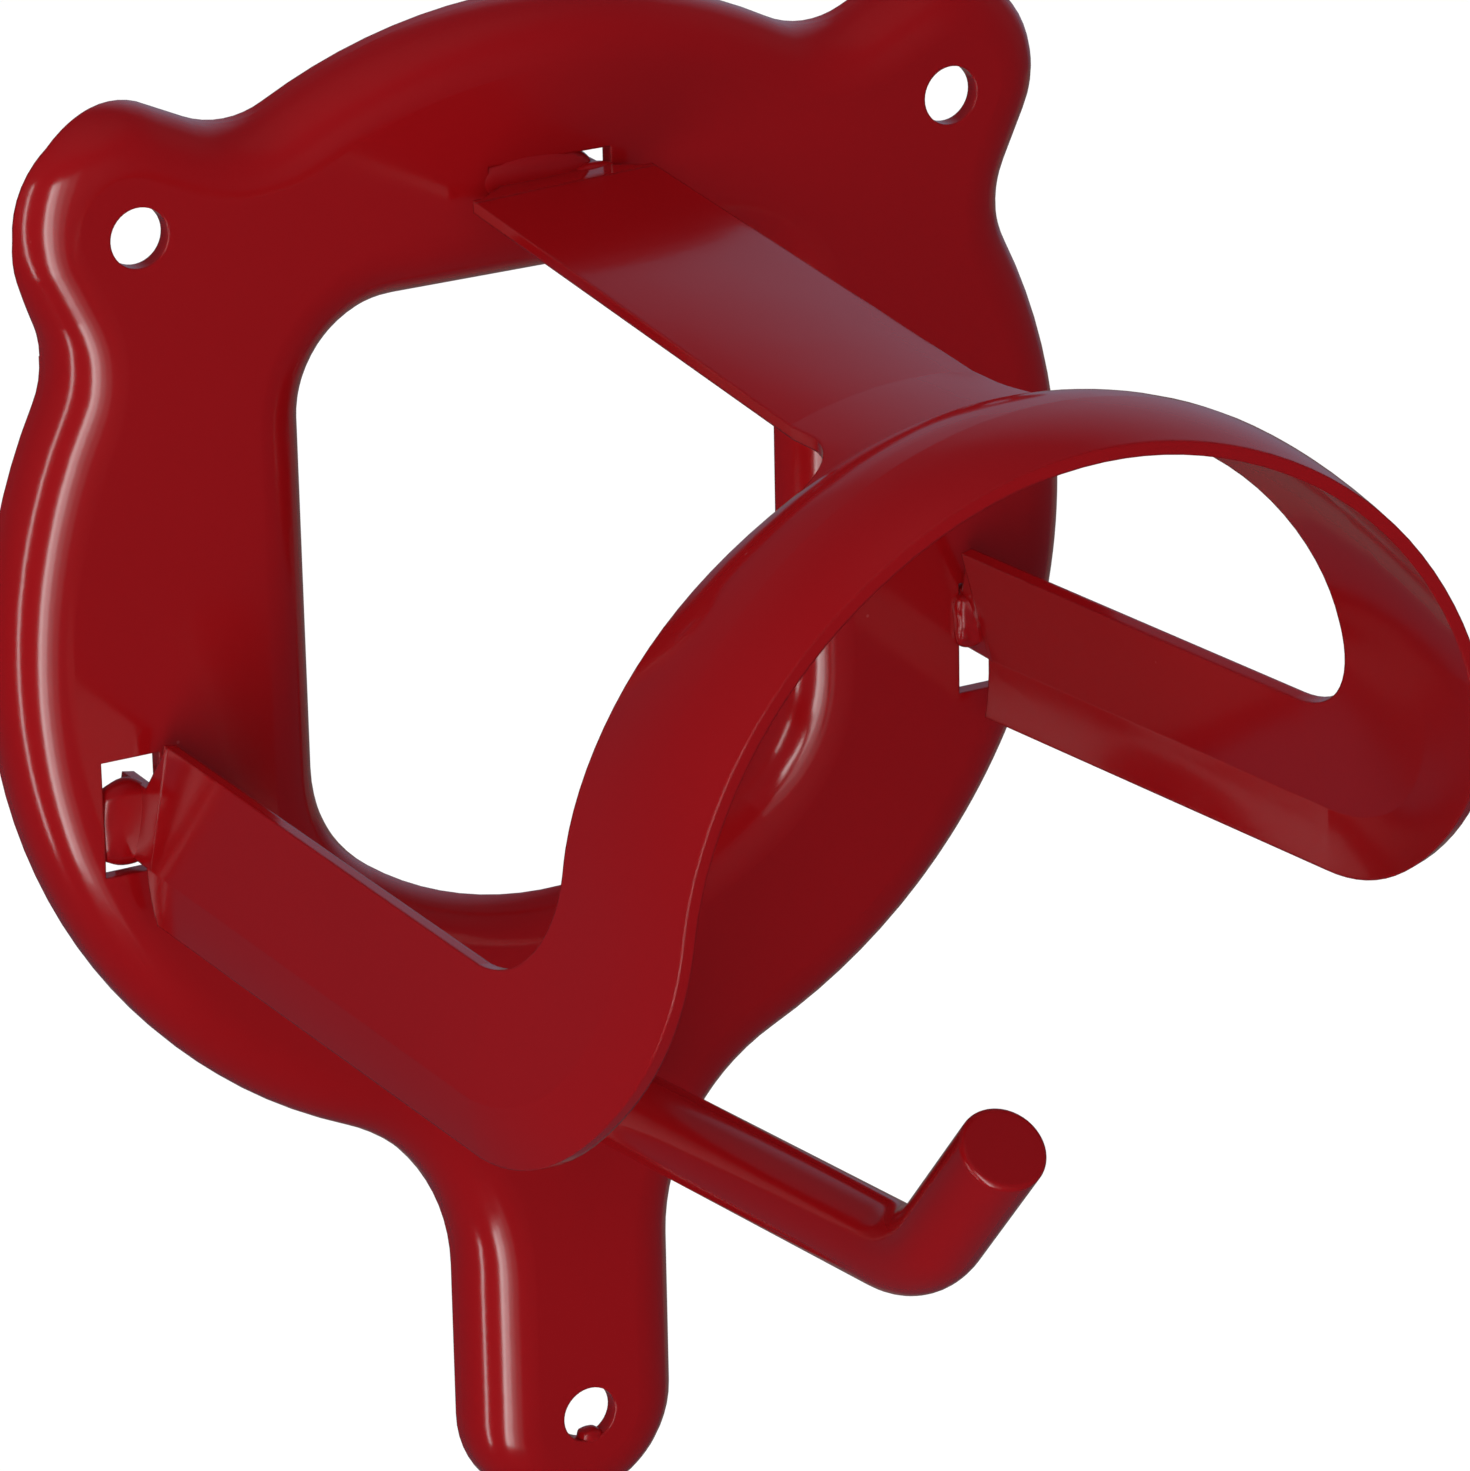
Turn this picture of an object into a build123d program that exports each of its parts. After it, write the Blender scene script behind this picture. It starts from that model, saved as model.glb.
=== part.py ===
from build123d import *
from math import cos, radians, sin
import os

os.makedirs("parts", exist_ok=True)

# Frame: X across, +Z up, the front towards -Y. Y = 0 is the front face of the back plate and the
# origin lies midway between the two upper screw holes. The wall plane is Y = dish_depth.

# Back plate, a disc with two ears and a tail
plate_sheet = 2.0
dish_depth = 8.7
rim_bend = 7.0
disc_radius = 69.5
disc_z = -51.0
hole_spacing = 104.0
ear_radius = 13.0
ear_shift = 1.4
ear_axis = 45.0
ear_flank = 20.0
ear_reach = 26.0
ear_depth = 4.2
relief_axis = 25.0
relief_start = 1.6
relief_end = 12.5
neck_share = 1.08
tail_width = 27.5
tail_hole_z = -157.0
tail_blend = 25.0
screw_hole = 7.0

# Window in the plate
window_width = 62.4
window_top = -13.5
window_bottom = -90.5
window_top_corner = 12.0
window_bottom_arc = 40.0
window_bottom_corner = 18.0
window_flange = 6.4

# Slots for the tabs of the rest
slot_x = 56.2
slot_z = -67.5
slot_width = 7.2
slot_height = 14.0
top_slot_width = 15.6
top_slot_height = 4.4
top_slot_x = -0.8
top_slot_z = -1.1

# Bridle rest, one strip blank formed over an arch
rest_sheet = 1.5
arch_z = -52.1
arch_radius = 51.7
leg_lean = 12.2
crown_y = -100.5
band_back = 13.0
band_front = 10.6
crown_back = 4.0
crown_front = 1.9
leg_drop = 0.4
crown_reach = 0.75
inner_corner = 14.8
corner_cut = 1.9
arm_upper = 14.6
arm_lower = 7.0
arm_drop = 0.2
fold_drop = 2.3
arm_rise = 2.6
arm_x = 53.2
arm_z = -56.8
arm_end = 3.0
side_tab = 8.6
side_shoulder = 6.0
tab_out = 6.0
tab_gap = 0.4
top_arm_width = 23.0
top_arm_blend = 8.0
top_arm_root = 12.0
top_arm_z = -1.0
top_tab = 13.4

# Twist left in the rest by forming: the arch is turned further than the arm ends in their slots
front_roll = 4.1
front_turn = 2.7
front_shift = -0.8
front_sink = -0.4
tab_roll = 1.85
tab_shift = -0.4

# Rod hook
rod_diameter = 10.0
rod_root_z = -113.5
rod_bend_y = -79.4
rod_bend_z = -105.1
rod_tip_y = -97.0
rod_tip_z = -84.7
rod_bend = 18.0
rod_edge = 0.6

wall_plane = Plane.XZ.offset(-dish_depth)
ear_x = hole_spacing / 2
lobe_x = ear_x + ear_shift * cos(radians(ear_axis))
lobe_z = ear_shift * sin(radians(ear_axis))
hole_points = [(ear_x, 0), (-ear_x, 0), (0, tail_hole_z)]


def ear_points(side):
    # tangent points on the ear circle and the flanks running down into the disc
    low = radians(ear_axis - 90 + ear_flank)
    high = radians(ear_axis + 90 - ear_flank)
    low_dir = radians(ear_axis + 180 + ear_flank)
    high_dir = radians(ear_axis + 180 - ear_flank)
    a = (ear_radius * cos(low), ear_radius * sin(low))
    b = (ear_radius * cos(high), ear_radius * sin(high))
    c = (b[0] + ear_reach * cos(high_dir), b[1] + ear_reach * sin(high_dir))
    d = (a[0] + ear_reach * cos(low_dir), a[1] + ear_reach * sin(low_dir))
    return [(side * (lobe_x + p[0]), lobe_z + p[1]) for p in (a, b, c, d)]


# The necks are rounded in proportion to how far the flanks stand out of the disc
flank_x, flank_z = ear_points(1)[0]
neck_round = neck_share * ((flank_x**2 + (flank_z - disc_z)**2)**0.5 - disc_radius)


def disc_gap(v):
    return (v.X**2 + (v.Y - disc_z)**2)**0.5 - disc_radius


# Outline of the plate, drawn on the wall plane
with BuildSketch(wall_plane) as outline:
    with Locations((0, disc_z)):
        Circle(disc_radius)
    for side in (1, -1):
        with Locations((side * lobe_x, lobe_z)):
            Circle(ear_radius)
        with BuildLine():
            Polyline(*ear_points(side), close=True)
        make_face()
    with Locations((0, (tail_hole_z + disc_z) / 2)):
        Rectangle(tail_width, disc_z - tail_hole_z)
    with Locations((0, tail_hole_z)):
        Circle(tail_width / 2)
    low_edge = disc_z - (disc_radius**2 - (tail_width / 2)**2)**0.5
    fillet(outline.vertices().filter_by(lambda v: abs(v.Y - low_edge) < 0.1), tail_blend)
    fillet(outline.vertices().filter_by(lambda v: v.Y > disc_z and abs(disc_gap(v)) < 0.05), neck_round)

half = window_width / 2
arc_side = window_bottom + window_bottom_arc - (window_bottom_arc**2 - half**2)**0.5
with BuildSketch(wall_plane) as window:
    with BuildLine():
        Polyline((-half, arc_side), (-half, window_top), (half, window_top), (half, arc_side))
        ThreePointArc((half, arc_side), (0, window_bottom), (-half, arc_side))
    make_face()
    fillet(window.vertices().group_by(Axis.Y)[-1], window_top_corner)
    fillet(window.vertices().group_by(Axis.Y)[0], window_bottom_corner)

# The hollow behind the sheet
with BuildPart() as hollow:
    with BuildSketch(wall_plane):
        add(outline.sketch)
        offset(amount=-plate_sheet, mode=Mode.REPLACE)
    extrude(amount=dish_depth - plate_sheet)
    with BuildSketch(wall_plane):
        add(window.sketch)
        offset(amount=plate_sheet, mode=Mode.REPLACE)
    extrude(amount=dish_depth - plate_sheet, mode=Mode.SUBTRACT)
    chamfer(hollow.faces().sort_by(Axis.Y)[0].edges(), 0.6 * (rim_bend - plate_sheet))

with BuildPart() as back_plate:
    with BuildSketch(wall_plane):
        add(outline.sketch)
        add(window.sketch, mode=Mode.SUBTRACT)
    extrude(amount=dish_depth)
    fillet(back_plate.faces().sort_by(Axis.Y)[0].edges(), rim_bend)
    add(hollow.part, mode=Mode.SUBTRACT)
    # the window flange stops short of the wall
    with BuildSketch(wall_plane):
        add(window.sketch)
        offset(amount=plate_sheet + 0.2, mode=Mode.REPLACE)
    extrude(amount=dish_depth - window_flange, mode=Mode.SUBTRACT)
    # the rim is shallower round the ears
    for side in (1, -1):
        along = Vector(side * cos(radians(relief_axis)), 0, sin(radians(relief_axis)))
        with BuildSketch(Plane(origin=(side * ear_x, 0, 0), x_dir=along, z_dir=along.cross(Vector(0, 1, 0)))):
            with BuildLine():
                Polyline((relief_start, dish_depth), (relief_end, ear_depth), (2 * ear_radius, ear_depth),
                         (2 * ear_radius, 2 * dish_depth), (relief_start, 2 * dish_depth), close=True)
            make_face()
        extrude(amount=1.3 * ear_radius, both=True, mode=Mode.SUBTRACT)
    # screw holes and tab slots
    with BuildSketch(Plane.XZ):
        with Locations(*hole_points):
            Circle(screw_hole / 2)
        with Locations((slot_x, slot_z), (-slot_x, slot_z)):
            Rectangle(slot_width, slot_height)
        with Locations((top_slot_x, top_slot_z)):
            Rectangle(top_slot_width, top_slot_height)
    extrude(amount=-2 * plate_sheet, mode=Mode.SUBTRACT)
back_plate.part.label = "back_plate"
export_step(back_plate.part, "parts/back_plate.step")

# Formed strip of the rest. Every section lies across the strip: u runs from the inner edge to the outer
# edge, the ridge is at u = 0 and the outer skin drops away from it on both sides.
lean = radians(leg_lean)
up_leg = Vector(-sin(lean), 0, cos(lean))
out_leg = Vector(cos(lean), 0, sin(lean))
leg_foot = Vector(0, 0, arch_z) + out_leg * arch_radius
corner_y = crown_y + band_back + inner_corner


def ease(k):
    return k * k * (3 - 2 * k)


def strip_section(origin, across, out, back, front, drop_back, drop_front, fullness):
    with BuildSketch(Plane(origin=origin, x_dir=across, z_dir=across.cross(out))) as sk:
        with BuildLine():
            ThreePointArc((-back, -drop_back), (-back / 2, -drop_back * fullness), (0, 0))
            ThreePointArc((0, 0), (front / 2, -drop_front * fullness), (front, -drop_front))
            Line((front, -drop_front), (front, -drop_front - rest_sheet))
            ThreePointArc((front, -drop_front - rest_sheet), (front / 2, -drop_front * fullness - rest_sheet),
                          (0, -rest_sheet))
            ThreePointArc((0, -rest_sheet), (-back / 2, -drop_back * fullness - rest_sheet),
                          (-back, -drop_back - rest_sheet))
            Line((-back, -drop_back - rest_sheet), (-back, -drop_back))
        make_face()
    return sk.sketch


def corner_section(k):
    # k = 0 lies across the end of the side arm, k = 1 across the foot of the arch
    s = ease(k)
    angle = radians(arm_rise + (90 - arm_rise) * k)
    back = arm_upper + (band_back - arm_upper) * s
    front = arm_lower + (band_front - arm_lower) * s - corner_cut * sin(radians(180 * k))**2
    across = Vector(0, -sin(angle), 0) - up_leg * cos(angle)
    origin = Vector(leg_foot.X, corner_y, leg_foot.Z) + across * (inner_corner + back)
    return strip_section(origin, across, out_leg, back, front, arm_drop + (leg_drop - arm_drop) * s,
                         fold_drop + (leg_drop - fold_drop) * s, 0.42 - 0.17 * s)


def arch_section(angle):
    # the band is flat at the feet of the arch and most crowned at its top
    s = ease(min(1, (1 - abs(90 - angle) / (90 - leg_lean)) / crown_reach))
    out = Vector(cos(radians(angle)), 0, sin(radians(angle)))
    ridge = Vector(0, crown_y, arch_z) + out * arch_radius
    return strip_section(ridge, Vector(0, -1, 0), out, band_back, band_front,
                         leg_drop + (crown_back - leg_drop) * s,
                         leg_drop + (crown_front - leg_drop) * s, 0.25)


def turned(shape):
    # place of the arch and its corners
    roll = Location((front_shift, -crown_y, front_sink), (0, -front_roll, 0))
    return shape.moved(Location((0, crown_y, 0), (0, 0, front_turn)) * roll)


def seated(shape):
    # place of the side arms' ends in their slots
    return shape.moved(Location((tab_shift, 0, arm_z), (0, -tab_roll, 0)) * Location((0, 0, -arm_z)))


def hung(shape):
    # place of the top arm's end in its slot
    return shape.moved(Location((top_slot_x, 0, top_arm_z), (0, -tab_roll, 0)))


with BuildPart() as corner:
    for step in range(7):
        add(corner_section(step / 6))
    loft()

with BuildPart() as band:
    for step in range(13):
        add(arch_section(leg_lean + (180 - 2 * leg_lean) * step / 12))
    loft()

# Root of the top arm, on the arch's own curve with rounded inner corners
back_radius = arch_radius - crown_back
back_y = crown_y + band_back
root_y = back_y + top_arm_root
half_arm = top_arm_width / 2
with BuildPart() as arm_root:
    with BuildSketch(Plane.XZ.offset(-root_y)):
        with Locations((0, arch_z)):
            Circle(back_radius)
            Circle(back_radius - rest_sheet, mode=Mode.SUBTRACT)
    extrude(amount=top_arm_root + 1.2)
    with BuildSketch(Plane.XY) as plan:
        with Locations((0, (root_y + back_y) / 2)):
            Rectangle(top_arm_width, top_arm_root)
        with Locations((0, back_y - 1.0)):
            Rectangle(top_arm_width + 3 * top_arm_blend, 2.0)
        inner = plan.vertices().filter_by(lambda v: abs(abs(v.X) - half_arm) < 0.01)
        fillet(inner.filter_by(lambda v: abs(v.Y - back_y) < 0.01), top_arm_blend)
    extrude(amount=2 * arch_z, both=True, mode=Mode.INTERSECT)
    split(bisect_by=Plane.XY.offset(arch_z), keep=Keep.TOP)


def arm_section(y, top, rise):
    # cross-section of the top arm, arched by rise over its width
    with BuildSketch(Plane.XZ.offset(-y)) as sk:
        with BuildLine():
            ThreePointArc((-half_arm, top - rise), (0, top), (half_arm, top - rise))
            Line((half_arm, top - rise), (half_arm, top - rise - rest_sheet))
            ThreePointArc((half_arm, top - rise - rest_sheet), (0, top - rest_sheet),
                          (-half_arm, top - rise - rest_sheet))
            Line((-half_arm, top - rise - rest_sheet), (-half_arm, top - rise))
        make_face()
    return sk.sketch


# Straight arms from the formed front to the slots
root_rise = back_radius - (back_radius**2 - half_arm**2)**0.5
arm_tip = Vector(arm_x, -arm_end, arm_z) - up_leg * arm_upper
tip_section = strip_section(arm_tip, -up_leg, out_leg, arm_upper, arm_lower, arm_drop, fold_drop, 0.42)
with BuildPart() as right_arm:
    add(seated(tip_section))
    add(turned(corner_section(0)))
    loft()

with BuildPart() as left_arm:
    add(seated(tip_section.mirror(Plane.YZ)))
    add(turned(corner_section(0).mirror(Plane.YZ)))
    loft()

with BuildPart() as top_arm:
    add(hung(arm_section(-arm_end, 0, 0.05)))
    add(turned(arm_section(root_y, arch_z + back_radius, root_rise)))
    loft()

# Tabs on the arm ends
with BuildPart() as side_tabs:
    with BuildSketch(Plane(origin=(arm_x, 0, arm_z), x_dir=(0, 1, 0), z_dir=-out_leg)):
        with BuildLine():
            Polyline((-arm_end - 1, arm_upper), (tab_out, arm_upper), (tab_out, arm_upper - side_tab),
                     (-tab_gap, arm_upper - side_tab), (-arm_end - 1, arm_upper - side_tab - side_shoulder),
                     close=True)
        make_face()
    extrude(amount=rest_sheet)
    mirror(about=Plane.YZ)

with BuildPart() as top_tab_plate:
    with BuildSketch(Plane.XY):
        with BuildLine():
            Polyline((-half_arm, -arm_end - 1), (-top_tab / 2, -tab_gap), (-top_tab / 2, tab_out),
                     (top_tab / 2, tab_out), (top_tab / 2, -tab_gap), (half_arm, -arm_end - 1), close=True)
        make_face()
    extrude(amount=-rest_sheet)

with BuildPart() as bridle_rest:
    add(turned(band.part))
    add(turned(corner.part))
    add(turned(corner.part.mirror(Plane.YZ)))
    add(turned(arm_root.part))
    add(right_arm.part)
    add(left_arm.part)
    add(top_arm.part)
    add(seated(side_tabs.part))
    add(hung(top_tab_plate.part))
bridle_rest.part.label = "bridle_rest"
export_step(bridle_rest.part, "parts/bridle_rest.step")

# Bent rod, standing on the plate below the window
with BuildPart() as rod_hook:
    with BuildLine(Plane.YZ) as bar:
        rise = (rod_bend_z - rod_root_z) / -rod_bend_y
        FilletPolyline((2.0, rod_root_z - 2.0 * rise), (rod_bend_y, rod_bend_z), (rod_tip_y, rod_tip_z),
                       radius=rod_bend)
    with BuildSketch(Plane(origin=bar.line @ 0, z_dir=bar.line % 0)):
        Circle(rod_diameter / 2)
    sweep()
    fillet(rod_hook.faces().filter_by(GeomType.PLANE).sort_by(Axis.Y)[0].edges(), rod_edge)
    with BuildSketch(Plane.XZ):
        with Locations((0, rod_root_z)):
            Rectangle(4 * rod_diameter, 4 * rod_diameter)
    extrude(amount=-rod_diameter, mode=Mode.SUBTRACT)
rod_hook.part.label = "rod_hook"
export_step(rod_hook.part, "parts/rod_hook.step")
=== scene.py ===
from math import radians

import bmesh
import bpy
from mathutils import Euler, Matrix, Vector, noise


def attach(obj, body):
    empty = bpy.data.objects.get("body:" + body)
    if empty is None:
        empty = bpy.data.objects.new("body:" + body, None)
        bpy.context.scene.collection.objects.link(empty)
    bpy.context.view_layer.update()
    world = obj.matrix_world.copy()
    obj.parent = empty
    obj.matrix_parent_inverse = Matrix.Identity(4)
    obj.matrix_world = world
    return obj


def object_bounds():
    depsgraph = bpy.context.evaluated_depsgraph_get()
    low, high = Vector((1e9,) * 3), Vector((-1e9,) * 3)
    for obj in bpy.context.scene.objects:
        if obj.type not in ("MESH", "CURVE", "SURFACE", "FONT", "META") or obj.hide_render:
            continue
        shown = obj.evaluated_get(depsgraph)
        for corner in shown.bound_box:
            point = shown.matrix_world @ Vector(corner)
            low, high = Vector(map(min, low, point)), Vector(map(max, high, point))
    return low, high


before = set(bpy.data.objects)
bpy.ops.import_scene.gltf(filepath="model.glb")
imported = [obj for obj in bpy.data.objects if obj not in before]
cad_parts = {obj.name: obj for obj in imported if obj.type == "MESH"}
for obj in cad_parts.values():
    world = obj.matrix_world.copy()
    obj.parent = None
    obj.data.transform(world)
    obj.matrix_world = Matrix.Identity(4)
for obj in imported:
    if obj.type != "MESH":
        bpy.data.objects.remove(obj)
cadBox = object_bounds()
scene = bpy.context.scene
scene.view_settings.view_transform = "Standard"
print("frame loaded:", sorted(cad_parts))

mm = 0.001
plainWhite = (1, 1, 1, 1)


def linearColor(hexText):
    parts = [int(hexText[i:i + 2], 16) / 255 for i in (1, 3, 5)]
    return [c / 12.92 if c <= 0.04045 else ((c + 0.055) / 1.055) ** 2.4 for c in parts] + [1.0]


def addNode(tree, kind, settings=None, links=None):
    node = tree.nodes.new(kind)
    for key, value in (settings or {}).items():
        if isinstance(key, int) or key in node.inputs:
            node.inputs[key].default_value = value
        else:
            setattr(node, key, value)
    for key, source in (links or {}).items():
        tree.links.new(source, node.inputs[key])
    return node


def aim(azimuth, elevation):      # degrees left of the front, and up
    return Euler((radians(90 - elevation), 0, radians(-azimuth))).to_matrix()


# Gloss enamel sprayed on pressed steel: a deep wet-looking red that mirrors its surroundings softly,
# with a faint orange peel, a slow waviness from the press, a few dust nibs and paint-rounded cut edges
enamel = {
    "color": "#960b10",
    "thin": "#8a090d",       # where the coat is a touch thinner
    "nib": "#a8474a",        # dust caught in the paint
    "roughness": 0.15,
    "ior": 1.5,
    "coat": 0.15,            # a little clear resin floats to the top
    "coatRoughness": 0.06,
    "cloudMm": 60,           # size of the cloudy tone
    "cloudDetail": 2.0,
    "peelMm": 2.2,           # spacing of the orange peel
    "peelDepthMm": 0.010,
    "peelDetail": 1.0,
    "waveMm": 45,            # waviness of the pressed sheet
    "waveDepthMm": 0.10,
    "nibMm": 11,             # mean distance between nibs
    "nibSize": 0.022,        # radius as a share of that distance
    "nibCore": 0.6,          # share of the radius that is full strength
    "nibStrength": 0.5,
    "edgeMm": 0.45,          # how round the paint makes a cut edge
    "edgeSamples": 6,
}


def makeEnamel(name):
    mat = bpy.data.materials.new(name)
    mat.use_nodes = True
    tree = mat.node_tree
    shader = tree.nodes["Principled BSDF"]
    shader.inputs["Roughness"].default_value = enamel["roughness"]
    shader.inputs["IOR"].default_value = enamel["ior"]
    shader.inputs["Coat Weight"].default_value = enamel["coat"]
    shader.inputs["Coat Roughness"].default_value = enamel["coatRoughness"]
    place = addNode(tree, "ShaderNodeTexCoord").outputs["Object"]
    # tone
    cloud = addNode(tree, "ShaderNodeTexNoise",
                    {"Scale": 1 / (enamel["cloudMm"] * mm), "Detail": enamel["cloudDetail"]},
                    {"Vector": place})
    tint = addNode(tree, "ShaderNodeMix", {"data_type": "RGBA", 6: linearColor(enamel["color"]),
                                           7: linearColor(enamel["thin"])}, {0: cloud.outputs["Fac"]})
    dots = addNode(tree, "ShaderNodeTexVoronoi", {"Scale": 1 / (enamel["nibMm"] * mm)}, {"Vector": place})
    nib = addNode(tree, "ShaderNodeMapRange",
                  {"From Min": enamel["nibSize"], "From Max": enamel["nibCore"] * enamel["nibSize"],
                   "To Max": enamel["nibStrength"]}, {"Value": dots.outputs["Distance"]})
    paint = addNode(tree, "ShaderNodeMix", {"data_type": "RGBA", 7: linearColor(enamel["nib"])},
                    {0: nib.outputs[0], 6: tint.outputs[2]})
    tree.links.new(paint.outputs[2], shader.inputs["Base Color"])
    # relief
    soft = addNode(tree, "ShaderNodeBevel",
                   {"Radius": enamel["edgeMm"] * mm, "samples": enamel["edgeSamples"]})
    wave = addNode(tree, "ShaderNodeTexNoise",
                   {"Scale": 1 / (enamel["waveMm"] * mm), "Detail": 0.0}, {"Vector": place})
    waveBump = addNode(tree, "ShaderNodeBump", {"Distance": enamel["waveDepthMm"] * mm},
                       {"Height": wave.outputs["Fac"], "Normal": soft.outputs["Normal"]})
    peel = addNode(tree, "ShaderNodeTexNoise",
                   {"Scale": 1 / (enamel["peelMm"] * mm), "Detail": enamel["peelDetail"]}, {"Vector": place})
    peelBump = addNode(tree, "ShaderNodeBump", {"Distance": enamel["peelDepthMm"] * mm},
                       {"Height": peel.outputs["Fac"], "Normal": waveBump.outputs["Normal"]})
    tree.links.new(peelBump.outputs["Normal"], shader.inputs["Normal"])
    return mat


redEnamel = makeEnamel("red_enamel_on_pressed_steel")
for name in ("back_plate", "bridle_rest", "rod_hook"):
    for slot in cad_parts[name].material_slots:
        slot.material = redEnamel
print("enamel on the three pieces")

# Weld under the paint that closes the tabs into their slots, and a drop of paint left in the lower hole;
# places and half sizes in mm
beads = {
    "top_weld": {"at": (-3.0, 1.2, -0.8), "half": (8.0, 1.7, 2.9), "lump": 0.03,
                 "paint": "red_paint_rest"},
    "top_fill": {"at": (4.8, 0.2, -2.2), "half": (3.2, 1.5, 1.8), "lump": 0.06,
                 "paint": "red_paint_rest"},
    "left_weld": {"at": (-56.3, 2.0, -68.9), "half": (4.4, 2.2, 5.2), "lump": 0.06,
                  "paint": "red_paint_rest"},
    "right_weld": {"at": (54.1, 0.0, -65.0), "half": (2.5, 2.2, 3.7), "lump": 0.16,
                   "paint": "red_paint_rest"},
    "hole_drop": {"at": (0.4, 1.1, -160.3), "half": (1.6, 1.2, 1.1), "lump": 0.12,
                  "paint": "red_paint_plate"},
}
beadForm = {"cuts": 11, "ball": 0.85, "lumpScale": 1.6}      # ball: 0 is a block, 1 a ball
for name, bead in beads.items():
    bm = bmesh.new()
    bmesh.ops.create_cube(bm, size=2)
    bmesh.ops.subdivide_edges(bm, edges=bm.edges, cuts=beadForm["cuts"], use_grid_fill=True)
    for vert in bm.verts:
        vert.co = vert.co.lerp(vert.co.normalized(), beadForm["ball"])
        vert.co *= 1 + bead["lump"] * noise.noise(vert.co * beadForm["lumpScale"] + Vector(bead["at"]))
    bmesh.ops.scale(bm, vec=Vector(bead["half"]) * mm, verts=bm.verts)
    bmesh.ops.translate(bm, vec=Vector(bead["at"]) * mm, verts=bm.verts)
    mesh = bpy.data.meshes.new(name)
    bm.to_mesh(mesh)
    bm.free()
    mesh.shade_smooth()
    mesh.materials.append(redEnamel)
    piece = bpy.data.objects.new(name, mesh)
    scene.collection.objects.link(piece)
    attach(piece, "root")
print("beads:", len(beads))


def eyeRays(tree):                # what is seen straight or through glass, and the light path itself
    path = addNode(tree, "ShaderNodeLightPath")
    seen = addNode(tree, "ShaderNodeMath", {"operation": "ADD", "use_clamp": True},
                   {0: path.outputs["Is Camera Ray"], 1: path.outputs["Is Transmission Ray"]})
    return seen.outputs[0], path


# Pale uncoated paper under and behind the object: matt, white to the eye, with a faint soft shadow; metres
stage = {
    "drop": 0.13,            # below the object
    "left": 0.04,
    "right": 1.0,
    "front": 0.10,
    "back": 1.3,
    "color": "#f0f0f0",
    "roughness": 0.9,
    "share": 0.93,           # of plain white in what the eye sees; the rest is lit paper
    "glow": 1.05,
    "mirror": 0.13,          # how bright the gloss sees it, as in a dim room
}
floorMat = bpy.data.materials.new("pale_paper_floor")
floorMat.use_nodes = True
tree = floorMat.node_tree
paper = tree.nodes["Principled BSDF"]
paper.inputs["Base Color"].default_value = linearColor(stage["color"])
paper.inputs["Roughness"].default_value = stage["roughness"]
seen, path = eyeRays(tree)
share = addNode(tree, "ShaderNodeMath", {"operation": "MULTIPLY", 1: stage["share"]}, {0: seen})
white = addNode(tree, "ShaderNodeEmission", {"Color": plainWhite, "Strength": stage["glow"]})
mirrored = addNode(tree, "ShaderNodeEmission", {"Color": plainWhite, "Strength": stage["mirror"]})
pale = addNode(tree, "ShaderNodeMixShader", None,
               {0: share.outputs[0], 1: paper.outputs[0], 2: white.outputs[0]})
mix = addNode(tree, "ShaderNodeMixShader", None,
              {0: path.outputs["Is Glossy Ray"], 1: pale.outputs[0], 2: mirrored.outputs[0]})
tree.links.new(mix.outputs[0], tree.nodes["Material Output"].inputs["Surface"])
bpy.ops.mesh.primitive_plane_add(size=1)
floor = bpy.context.object
floor.name = "floor"
floor.data.transform(Matrix.Diagonal((stage["right"] - stage["left"], stage["back"] - stage["front"], 1, 1)))
floor.data.transform(Matrix.Translation(((stage["left"] + stage["right"]) / 2,
                                         (stage["back"] + stage["front"]) / 2,
                                         cadBox[0][2] - stage["drop"])))
floor.data.materials.append(floorMat)

# Dim studio for the gloss, brighter towards the back right and a little up; white behind for the eye
sky = {
    "toward": (0.66, 0.73, 0.20),
    "edge": 0.80,            # cosine at which the brighter side begins
    "dim": 0.08,
    "bright": 0.38,
    "tint": (0.68, 0.74, 1.0, 1),
}
world = bpy.data.worlds.new("studio")
scene.world = world
world.use_nodes = True
tree = world.node_tree
tree.nodes.clear()
way = addNode(tree, "ShaderNodeTexCoord").outputs["Generated"]
facing = addNode(tree, "ShaderNodeVectorMath", {"operation": "DOT_PRODUCT", 1: sky["toward"]}, {0: way})
ramp = addNode(tree, "ShaderNodeMapRange",
               {"From Min": sky["edge"], "To Min": sky["dim"], "To Max": sky["bright"]},
               {"Value": facing.outputs["Value"]})
seen, path = eyeRays(tree)
studio = addNode(tree, "ShaderNodeBackground", {"Color": sky["tint"]}, {"Strength": ramp.outputs[0]})
white = addNode(tree, "ShaderNodeBackground", {"Color": plainWhite, "Strength": 1.0})
both = addNode(tree, "ShaderNodeMixShader", None, {0: seen, 1: studio.outputs[0], 2: white.outputs[0]})
addNode(tree, "ShaderNodeOutputWorld", None, {0: both.outputs[0]})
print("floor and world set")

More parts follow.
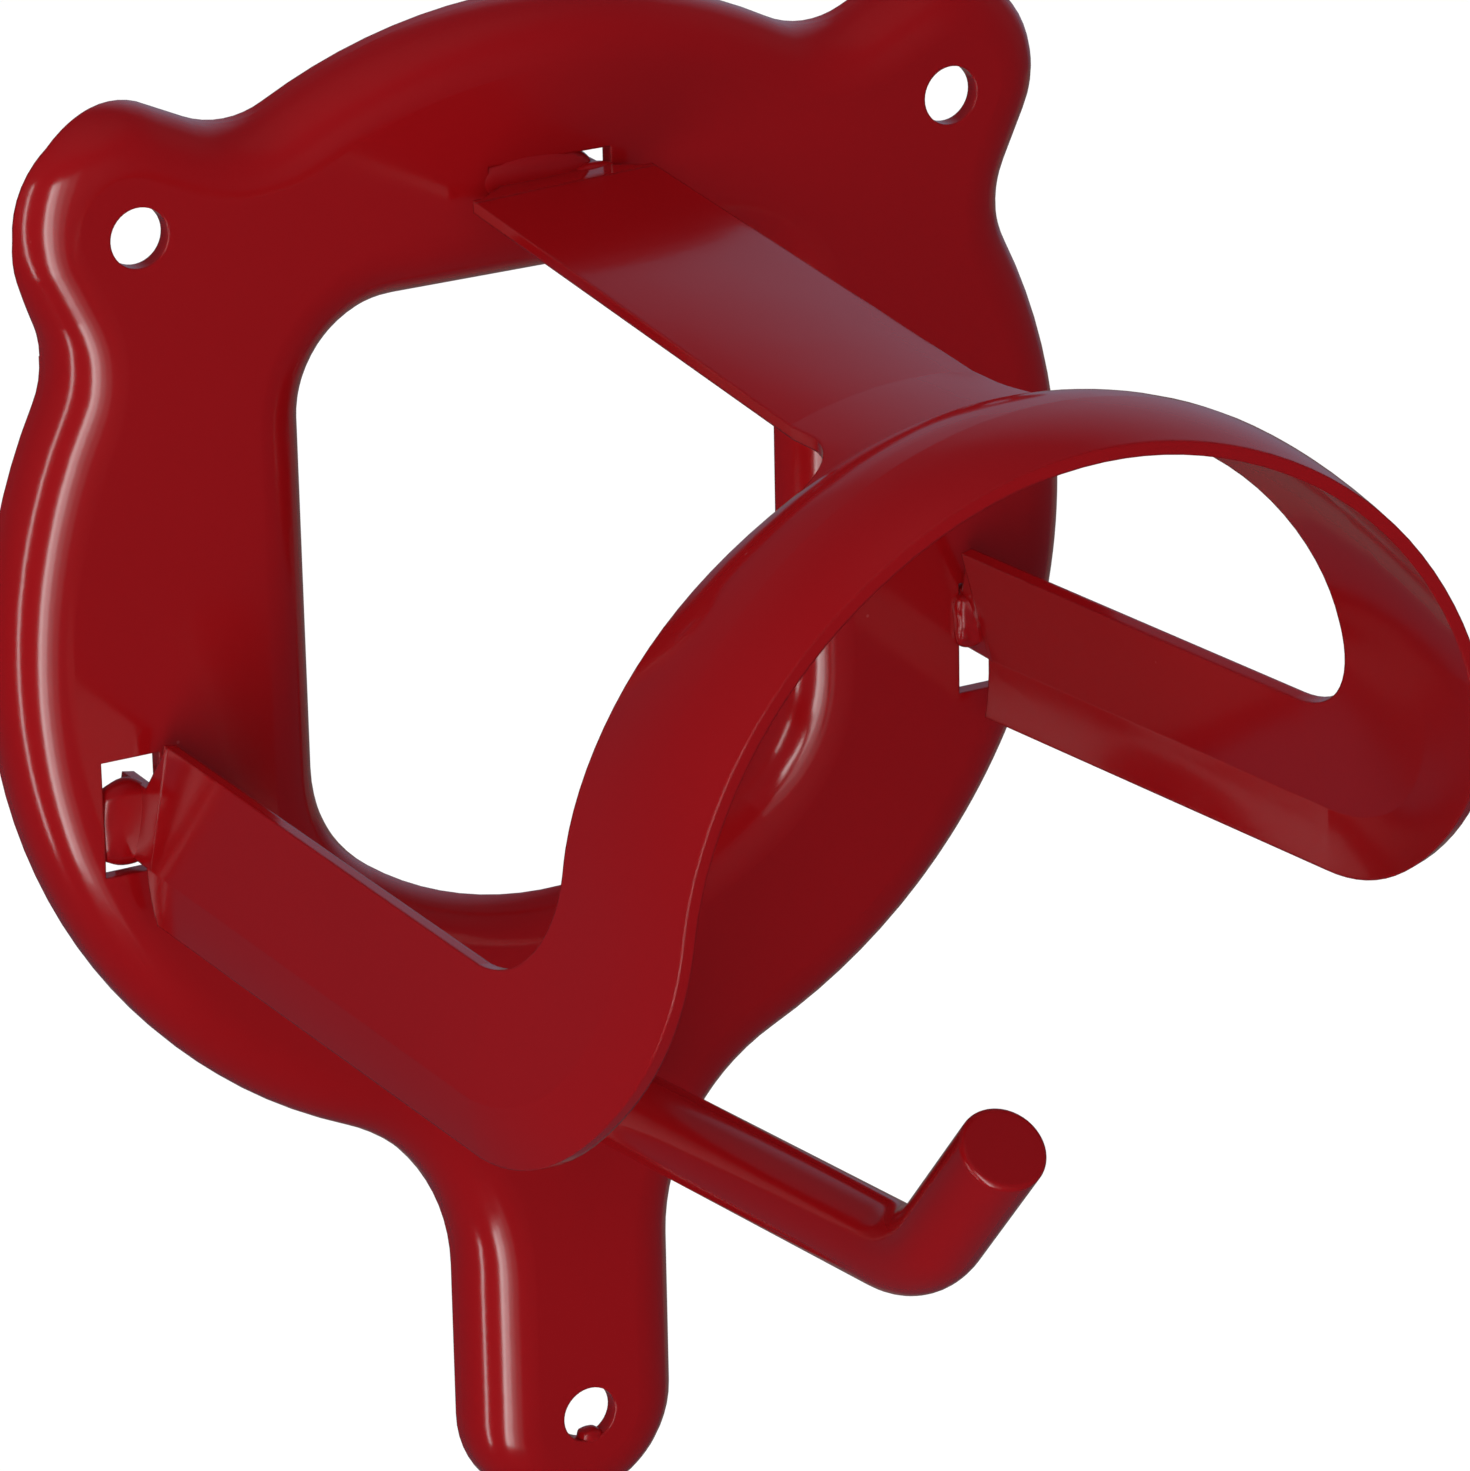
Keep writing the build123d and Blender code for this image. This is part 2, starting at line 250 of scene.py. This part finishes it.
# Tall strips on the left draw the bright lines down the rounded rims; large soft fills, which the gloss
# doesn't see, light the paint; degrees, metres, watts
lamps = {
    "nearStrip": {"azimuth": 40, "elevation": -6, "size": (0.36, 1.9), "power": 9},
    "coreStrip": {"azimuth": 44, "elevation": -6, "size": (0.10, 1.9), "power": 2.4},
    "softStrip": {"azimuth": 27, "elevation": -6, "size": (0.20, 1.9), "power": 1.4},
    "paleStrip": {"azimuth": 17, "elevation": -6, "size": (0.24, 1.9), "power": 0.6},
    "sideStrip": {"azimuth": 85, "elevation": -6, "size": (0.10, 1.9), "power": 4},
    "frontFill": {"azimuth": 8, "elevation": 2, "size": (1.8, 1.8), "power": 11},
    "leftFill": {"azimuth": 95, "elevation": 25, "size": (1.8, 1.8), "power": 6},
    "topFill": {"azimuth": 30, "elevation": 80, "size": (1.8, 1.8), "power": 12},
    "rightFill": {"azimuth": -100, "elevation": 20, "size": (1.8, 1.8), "power": 12},
    "backFill": {"azimuth": 180, "elevation": 15, "size": (1.8, 1.8), "power": 16},
}
lampAway = {"strip": 1.3, "fill": 1.8}
centre = Vector([(cadBox[0][i] + cadBox[1][i]) / 2 for i in range(3)])
for name, lamp in lamps.items():
    isStrip = name.endswith("Strip")
    away = lampAway["strip"] if isStrip else lampAway["fill"]
    data = bpy.data.lights.new(name, "AREA")
    data.shape = "RECTANGLE"
    data.size, data.size_y = lamp["size"]
    data.energy = lamp["power"]
    obj = bpy.data.objects.new(name, data)
    turn = aim(lamp["azimuth"], lamp["elevation"]).to_4x4()
    obj.matrix_world = Matrix.Translation(centre) @ turn @ Matrix.Translation((0, 0, away))
    obj.visible_glossy = isStrip
    scene.collection.objects.link(obj)
print("lamps set")

# Camera left of, in front of and above the object, with a long lens; mm, degrees, pixels
view = {
    "place": (-379.6, -726.4, 245.1),
    "azimuth": 28.92,
    "elevation": 21.01,
    "roll": -1.07,
    "focalPx": 7527.3,
    "photoWidth": 1470,
    "sensorMm": 36,
}
camData = bpy.data.cameras.new("photoView")
camData.sensor_width = view["sensorMm"]
camData.lens = view["focalPx"] / view["photoWidth"] * view["sensorMm"]
camera = bpy.data.objects.new("photoView", camData)
turn = aim(view["azimuth"], view["elevation"]) @ Matrix.Rotation(radians(view["roll"]), 3, "Z")
camera.matrix_world = Matrix.Translation(Vector(view["place"]) * mm) @ turn.to_4x4()
scene.collection.objects.link(camera)
scene.camera = camera
print("camera set")
